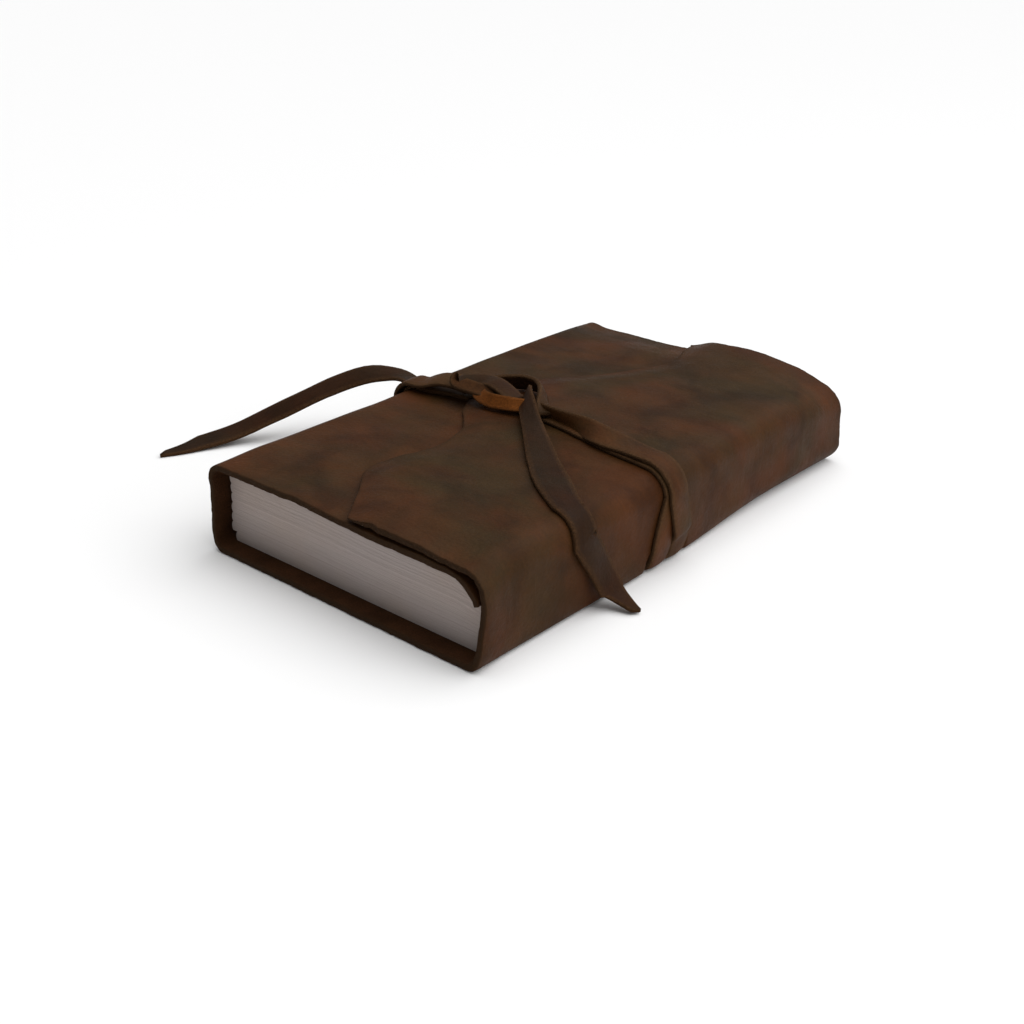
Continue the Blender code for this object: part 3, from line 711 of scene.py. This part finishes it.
def hide_faces(shape, columns, rows, outer, inner, front_side, flap_side):
    """Joins the points: both sides, then the free edges, then the two cut ends."""
    groups = [column[3] for column in columns]
    for r in range(len(rows) - 1):
        for side in (outer, inner):
            for c in range(len(columns) - 1):
                shape.face((side[r][c], side[r][c + 1], side[r + 1][c + 1], side[r + 1][c]), groups[c])
        for store, column in ((front_side, 0), (flap_side, -1)):
            one = [outer[r][column], *store[r], inner[r][column]]
            other = [outer[r + 1][column], *store[r + 1], inner[r + 1][column]]
            shape.strip(one, other, groups[column])
    for r, outward in ((0, -1), (len(rows) - 1, 1)):
        caps = [[outer[r][0], *front_side[r], inner[r][0]]]
        for c in range(1, len(columns) - 1):
            a, b = shape.points[outer[r][c]], shape.points[inner[r][c]]
            where = (shape.rest[outer[r][c]][0], rows[r])
            mids = [edge_point(shape, a, b, share, Vector((0, outward, 0)), where)
                    for share in EDGE_SHARES]
            caps.append([outer[r][c], *mids, inner[r][c]])
        caps.append([outer[r][-1], *flap_side[r], inner[r][-1]])
        for c, (one, other) in enumerate(zip(caps, caps[1:])):
            shape.strip(one, other, groups[c])


def make_hide():
    """One hide round the book, in three pieces that bend at the creases."""
    shape, columns, rows = Shape(), hide_columns(), hide_rows()
    hide_faces(shape, columns, rows, *hide_points(shape, columns, rows))
    pieces = make_pieces(shape, HIDE)
    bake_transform(pieces["hide_front"])
    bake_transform(pieces["hide_back"])
    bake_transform(pieces["hide_flap"])
    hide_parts("front_cover")
    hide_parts("back_cover", "spine")
    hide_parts("fore_edge", "flap")


# ---- the pages -----------------------------------------------------------------------------
def signature_bottom(index):
    return BLOCK_BOTTOM + (SIGNATURES - index) * PITCH


def fold_centre(index):
    """The axis of a gathering's flattened fold; the outer ones sit back inside the spine's creases."""
    radius = SIGNATURE_THICKNESS / 2
    height = signature_bottom(index) + radius
    beyond = max(BOTTOM_LEFT[1] - height, height - TOP_LEFT[1], 0)
    reach = SPINE_RADIUS - LEATHER - 0.3 - radius
    inside_crease = BOTTOM_LEFT[0] - max(reach * reach - beyond * beyond, 0) ** 0.5
    return max(FOLD_X + radius * FOLD_SHARE, inside_crease), height


def droop(x, z):
    """The top leaves bend down at the fore edge, along the inside of the curled cover."""
    inside = CURL_RADIUS - LEATHER
    fall = inside - max(inside ** 2 - max(x - CURL_X, 0.0) ** 2, 0.0) ** 0.5
    return -min(fall, 5.0) * smooth(z, 6, 28)


def page_edge_x(z):
    """The fore edge of the pages follows the curled cover's inside above and the wall below."""
    reach = CURL_RADIUS - LEATHER - 0.3
    under_curl = CURL_X + max(reach ** 2 - max(z - (FRONT_TOP - CURL_RADIUS), 0) ** 2, 0) ** 0.5
    return min(PAGE_EDGE_X, under_curl) - 1.6 * max(1 - z / FORE_RADIUS, 0) ** 2


def make_signature(index):
    """Folded sheets nested in each other, with slightly uneven ends and fore edges."""
    shape, name = Shape(), f"gathering_{index}"
    fold_x, middle = fold_centre(index)
    pitch = SIGNATURE_THICKNESS / 2 / SHEETS
    lengthwise = [-1.0, -0.96, -0.8, -0.6, -0.4, -0.2, 0.0, 0.2, 0.4, 0.6, 0.8, 0.96, 1.0]
    for sheet in range(SHEETS):
        outside = SIGNATURE_THICKNESS / 2 - sheet * pitch
        inside = max(outside - pitch * 0.86, 0.02)
        edge_x = page_edge_x(middle - 3.0 * smooth(middle, 6, 28)) + 0.12 * sheet
        edge_x += 0.3 * wander(index * 7, sheet * 3, 0, 2.0)
        long_side = PAGE_LENGTH / 2 - 0.25 - 0.15 * abs(wander(index * 5, sheet * 11, 4, 2.0))
        span = spread(edge_x, fold_x, 6.0)

        def profile(radius):
            upper = [(x, middle + radius) for x in span]
            turn = [(fold_x + radius * FOLD_SHARE * cos(radians(a)), middle + radius * sin(radians(a)))
                    for a in (90, 120, 150, 180, 210, 240, 270)]
            lower = [(x, middle - radius) for x in span[::-1]]
            return upper + turn + lower

        loops = []
        for share in lengthwise:
            ring = []
            for radius, flip in ((outside, 1), (inside, -1)):
                line = [(x, share * long_side, z + droop(x, z)) for x, z in profile(radius)][::flip]
                ring += [shape.point(place, place) for place in line]
            loops.append(ring)
        for one, other in zip(loops, loops[1:]):
            shape.loops(one, other, name)
        for ring in (loops[0], loops[-1]):
            half = len(ring) // 2
            shape.strip(ring[:half], ring[half:][::-1], name)
    piece = make_pieces(shape, PAPER)[name]
    piece.data.normals_split_custom_set([(0, 0, 0)] * len(piece.data.loops))
    piece.data.shade_flat()
    if index == 1:
        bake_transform(piece)
    else:
        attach(piece, "book")
    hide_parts(f"signature_{index}")


def make_thread(index):
    """Waxed thread of two plies: long stitches outside the spine and short runs inside the fold."""
    middle = (BLOCK_BOTTOM + BLOCK_TOP) / 2
    height = lerp(middle, signature_bottom(index) + SIGNATURE_THICKNESS / 2, STITCH_SPREAD)
    outside, inside = LEFT - 0.4 - THREAD / 2, LEFT + LEATHER + THREAD / 2
    near, far = STITCH_Y
    corners = [(inside, -far), (outside, -far), (outside, -near), (inside, -near),
               (inside, near), (outside, near), (outside, far), (inside, far)]
    points, last = [], len(corners) - 1
    for i, (x, y) in enumerate(corners):
        here = Vector((x, y, height))
        for neighbour, share in ((corners[max(i - 1, 0)], -1), (corners[min(i + 1, last)], 1)):
            other = Vector((*neighbour, height))
            way = other - here
            if way.length > 0.1:
                step = way.normalized() * min(0.9, way.length / 3)
                points.append((share, i, here + step))
    ordered = [place for _, _, place in sorted(points, key=lambda item: (item[1], item[0]))]
    line = []
    for a, b in zip(ordered, ordered[1:]):
        line += [a.lerp(b, t) for t in spread(0.0, 1.0, min(0.7 / max((b - a).length, 0.7), 1.0))]
    line.append(ordered[-1])

    shape, name, travelled, rings = Shape(), f"sewing_{index}", 0.0, []
    for i, here in enumerate(line):
        before, after = line[max(i - 1, 0)], line[min(i + 1, len(line) - 1)]
        travelled += (here - before).length
        along = (after - before).normalized()
        across = along.cross(UP).normalized()
        ring = []
        for k in range(THREAD_SIDES):
            angle = 2 * pi * k / THREAD_SIDES
            radius = THREAD / 2 * (0.80 + 0.20 * abs(cos(angle - travelled * 1.9)))
            place = here + (across * cos(angle) + UP * sin(angle)) * radius
            ring.append(shape.point(place, (travelled, 3 * cos(angle), 3 * sin(angle))))
        rings.append(ring)
    for one, other in zip(rings, rings[1:]):
        shape.loops(one, other, name)
    shape.face(rings[0], name)
    shape.face(rings[-1], name)
    piece = make_pieces(shape, LINEN)[name]
    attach(piece, "book")
    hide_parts(f"sewing_thread_{index}")


# ---- the wrap and its knot -----------------------------------------------------------------
def turn_route(turn):
    """Stations of one turn, from the front cover's end round the book to the fore edge's crease."""
    snug = THONG_GAP + THONG / 2
    lift = snug + turn["layer"] * LAYER
    under, fore, back = turn["under"], turn["fore"], turn["spine"]
    left, right = Vector((-1, 0, 0)), Vector((1, 0, 0))
    top = FRONT_TOP + lift
    end = Vector((TOP_LEFT[0] + 1, back, top))
    if turn["layer"]:
        lead = curved([(KNOT_EDGE_X - 1.5, -4.0, top + 2.2), (-40, -4.8, top + 3.0),
                       (-47, -6.8, top + 3.1), (TOP_LEFT[0] + 2, back + 0.3, top + 0.3)],
                      [(0.05, -0.12, 1), (0, -0.15, 1), (0, -0.1, 1), (0, 0, 1)], 4)
    else:
        lead = curved([(KNOT_EDGE_X - 1.6, back + 4.2, top), (-44, back + 3.4, top),
                       (-51, back + 1.0, top), (end.x, end.y, end.z)], [(0, 0, 1)] * 4, 4)
    route = lead + corner(TOP_LEFT, SPINE_RADIUS, 90, 180, (lift, lift), (back, back))
    high, low = Vector((LEFT - lift, back, TOP_LEFT[1])), Vector((LEFT - lift, under, BOTTOM_LEFT[1]))
    route += straight(high, low, left, 1.2)
    route += corner(BOTTOM_LEFT, SPINE_RADIUS, 270, 180, (-UNDER_Z, lift), (under, under))[::-1]
    start, stop = Vector((BOTTOM_LEFT[0], under, UNDER_Z)), Vector((BOTTOM_RIGHT[0], under, UNDER_Z))
    route += straight(start, stop, -UP)
    route += corner(BOTTOM_RIGHT, FORE_RADIUS, -90, 0, (-UNDER_Z, snug), (under, under), settled=1.0)
    for share in spread(0.0, 1.0, 0.07)[1:]:
        out = lerp(snug, lift, smooth(share, 0.0, 0.25))
        height = lerp(BOTTOM_RIGHT[1], TOP_RIGHT[1], share)
        route.append((Vector((RIGHT + out, lerp(under, fore, share ** 1.3), height)), right))
    return route + corner(TOP_RIGHT, FORE_RADIUS, 0, 90, (lift, lift), (fore, fore))


def make_turn(name):
    """One turn of the thong in three pieces, which bend where the hide does."""
    turn = TURNS[name]
    lift = HEIGHT + THONG_GAP + THONG / 2 + turn["layer"] * LAYER
    if turn["layer"]:
        top = curved([(51.6, -12.0, lift), (42, -11.4, lift + 0.1), (30, -10.4, lift + 0.5),
                      (18, -8.4, lift + 1.0), (9, -7.4, lift + 0.8), (1, -6.4, lift),
                      (-7, -5, lift), (-14, -3.4, lift)],
                     [(0, 0, 1), (0, -0.12, 1), (0.05, -0.4, 0.92), (0.15, -0.95, 0.1),
                      (0.15, -0.96, -0.22), (0.1, -0.9, 0.1), (0.1, -0.4, 0.9), (0, -0.2, 1)], 5)
    else:
        top = curved([(51.6, -12.4, lift), (40, -11.2, lift), (27, -8.2, lift), (10, -5.0, lift),
                      (-12, -4.2, lift), (-29, -5, lift)], [(0, 0, 1)] * 6, 7)
    stations = turn_route(turn) + top
    places = [place for place, _ in stations]
    first = next(i for i, place in enumerate(places) if place.x < LEFT and place.z < SPINE_SEAM_Z)
    second = next(i for i, place in enumerate(places) if place.x > RIGHT and place.z > FORE_SEAM_Z)
    names = [f"thong_{name}_{part}" for part in ("over_spine", "under", "over_flap")]
    shape = Shape()
    offset = 100.0 + 150.0 * turn["layer"]
    # the outer turn narrows on the flap, where it enters the knot
    taper = [1 - 0.44 * smooth(i, 2, 12) for i in range(31)] if turn["layer"] else ()
    add_strip(shape, stations, lambda i: names[(i >= first) + (i >= second)],
              offset=offset, taper=taper)
    # the turns' leather is brightened with a painted highlight
    pieces = make_pieces(shape, LIT_TURN_LEATHER)
    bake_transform(pieces[names[0]])
    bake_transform(pieces[names[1]])
    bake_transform(pieces[names[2]])
    cad = f"thong_{name}_"
    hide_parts(cad + "spine_bend", cad + "front")
    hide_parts(cad + "wrap", cad + "fore_bend_low")
    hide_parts(cad + "fore", cad + "fore_bend_high", cad + "flap")


def knot_strip(name, points, normals, offset, width, material=THONG_LEATHER):
    shape = Shape()
    add_strip(shape, curved(points, normals, 6), lambda i: name, width=width, offset=offset)
    piece = make_pieces(shape, material)[name]
    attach(piece, "flap")
    return piece


def make_knot():
    """The thong's end folded double and tucked: a flat bow, a ring round it and a twisted strand."""
    low, high = HEIGHT + 3.0, HEIGHT + 5.4
    bow = knot_strip(
        "knot_bow",
        [(-20, -7.4, low + 0.2), (-28, -8.2, low + 0.6), (-36, -8.4, low + 1.0),
         (-40.2, -7.4, (low + high) / 2), (-38.5, -5.0, high - 1.1), (-31.5, -1.4, high - 0.5),
         (-24, -2.6, high + 0.6), (-16.5, -5.4, high + 0.5), (-9.5, -7.6, high - 1.0)],
        [(0, 0.2, -1), (0, 0.2, -1), (-0.3, 0.2, -0.9), (-1, -0.3, 0.05), (-0.3, -0.4, 0.85),
         (0, -0.3, 0.95), (0.05, -0.15, 1), (0.1, -0.1, 1), (0.3, -0.1, 1)],
        900, width=7.2)
    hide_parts("bow_loop")
    knot_strip(
        "knot_ring",
        [(-31, -1.5, low - 0.4), (-29.5, 2.8, low + 0.2), (-25.5, 7.0, low + 0.6),
         (-20.5, 10.0, low + 0.8), (-14.6, 10.2, low + 0.9), (-8.8, 6.6, low + 1.2),
         (-3.6, 1.0, low + 1.5), (1.4, -4.8, low + 1.2), (6.0, -9.0, low + 0.6)],
        [(-0.6, 0.6, 0.4), (-0.5, 0.75, 0.35), (-0.3, 0.85, 0.35), (-0.05, 0.9, 0.35), (0.35, 0.8, 0.4),
         (0.65, 0.6, 0.45), (0.75, 0.45, 0.5), (0.6, 0.1, 0.7), (0.3, -0.4, 0.8)], 1000, width=6.6)
    # the twisted strand's flesh side and cut edges carry painted light
    knot_strip(
        "knot_twist",
        [(-27.5, -8.2, low - 0.2), (-23.5, -11.0, low), (-18, -12.4, low + 0.3),
         (-11.5, -11.6, low + 0.6), (-5, -9.0, low + 0.4)],
        [(0, 0.3, -0.95), (-0.05, 0.6, -0.8), (-0.1, 0.8, -0.5), (-0.15, 0.8, -0.5), (-0.2, 0.6, -0.7)],
        1100, width=5.4, material=LIT_KNOT_LEATHER)


# ---- stage ---------------------------------------------------------------------------------
def make_stage():
    mesh = bpy.data.meshes.new("floor")
    half, drop = 4.0, -0.0002
    corners = [(x * half, y * half, drop) for x, y in ((-1, -1), (1, -1), (1, 1), (-1, 1))]
    mesh.from_pydata(corners, [], [(0, 1, 2, 3)])
    floor = bpy.data.objects.new("floor", mesh)
    bpy.context.scene.collection.objects.link(floor)
    w = Wires("pale_floor")
    w.shader.inputs["Base Color"].default_value = (0.93, 0.93, 0.93, 1.0)
    w.shader.inputs["Roughness"].default_value = 0.9
    w.shader.inputs["Specular IOR Level"].default_value = 0.1
    mesh.materials.append(w.material)


def softbox(name, place, target, size, power, tint=(1.0, 1.0, 1.0)):
    lamp = bpy.data.lights.new(name, "AREA")
    lamp.shape, lamp.size, lamp.energy, lamp.color = "SQUARE", size, power, tint
    holder = bpy.data.objects.new(name, lamp)
    bpy.context.scene.collection.objects.link(holder)
    way = Vector(target) - Vector(place)
    holder.matrix_world = Matrix.Translation(place) @ way.to_track_quat("-Z", "Y").to_matrix().to_4x4()


def make_light():
    """Broad soft light from above and from the fore edge side, in a pale room."""
    sun = bpy.data.lights.new("overhead", "SUN")
    sun.energy, sun.angle = 2.45, radians(80)
    holder = bpy.data.objects.new("overhead", sun)
    bpy.context.scene.collection.objects.link(holder)
    holder.rotation_euler = Vector((0.25, 0.35, 1.0)).to_track_quat("Z", "Y").to_euler()
    softbox("side", (0.9, 0.25, 0.45), (0, 0, 0.02), 0.6, 2.0)
    world = bpy.data.worlds.new("room")
    bpy.context.scene.world = world
    world.use_nodes = True
    world.node_tree.nodes["Background"].inputs["Color"].default_value = (1.0, 1.0, 1.0, 1.0)
    world.node_tree.nodes["Background"].inputs["Strength"].default_value = 0.34
    bpy.context.scene.view_settings.view_transform = "Standard"


# ---- assembly ------------------------------------------------------------------------------
make_camera()
left_tail()
right_tail()
make_hide()
for number in range(1, SIGNATURES + 1):
    make_signature(number)
    make_thread(number)
make_turn("inner")
make_turn("outer")
make_knot()
make_stage()
make_light()
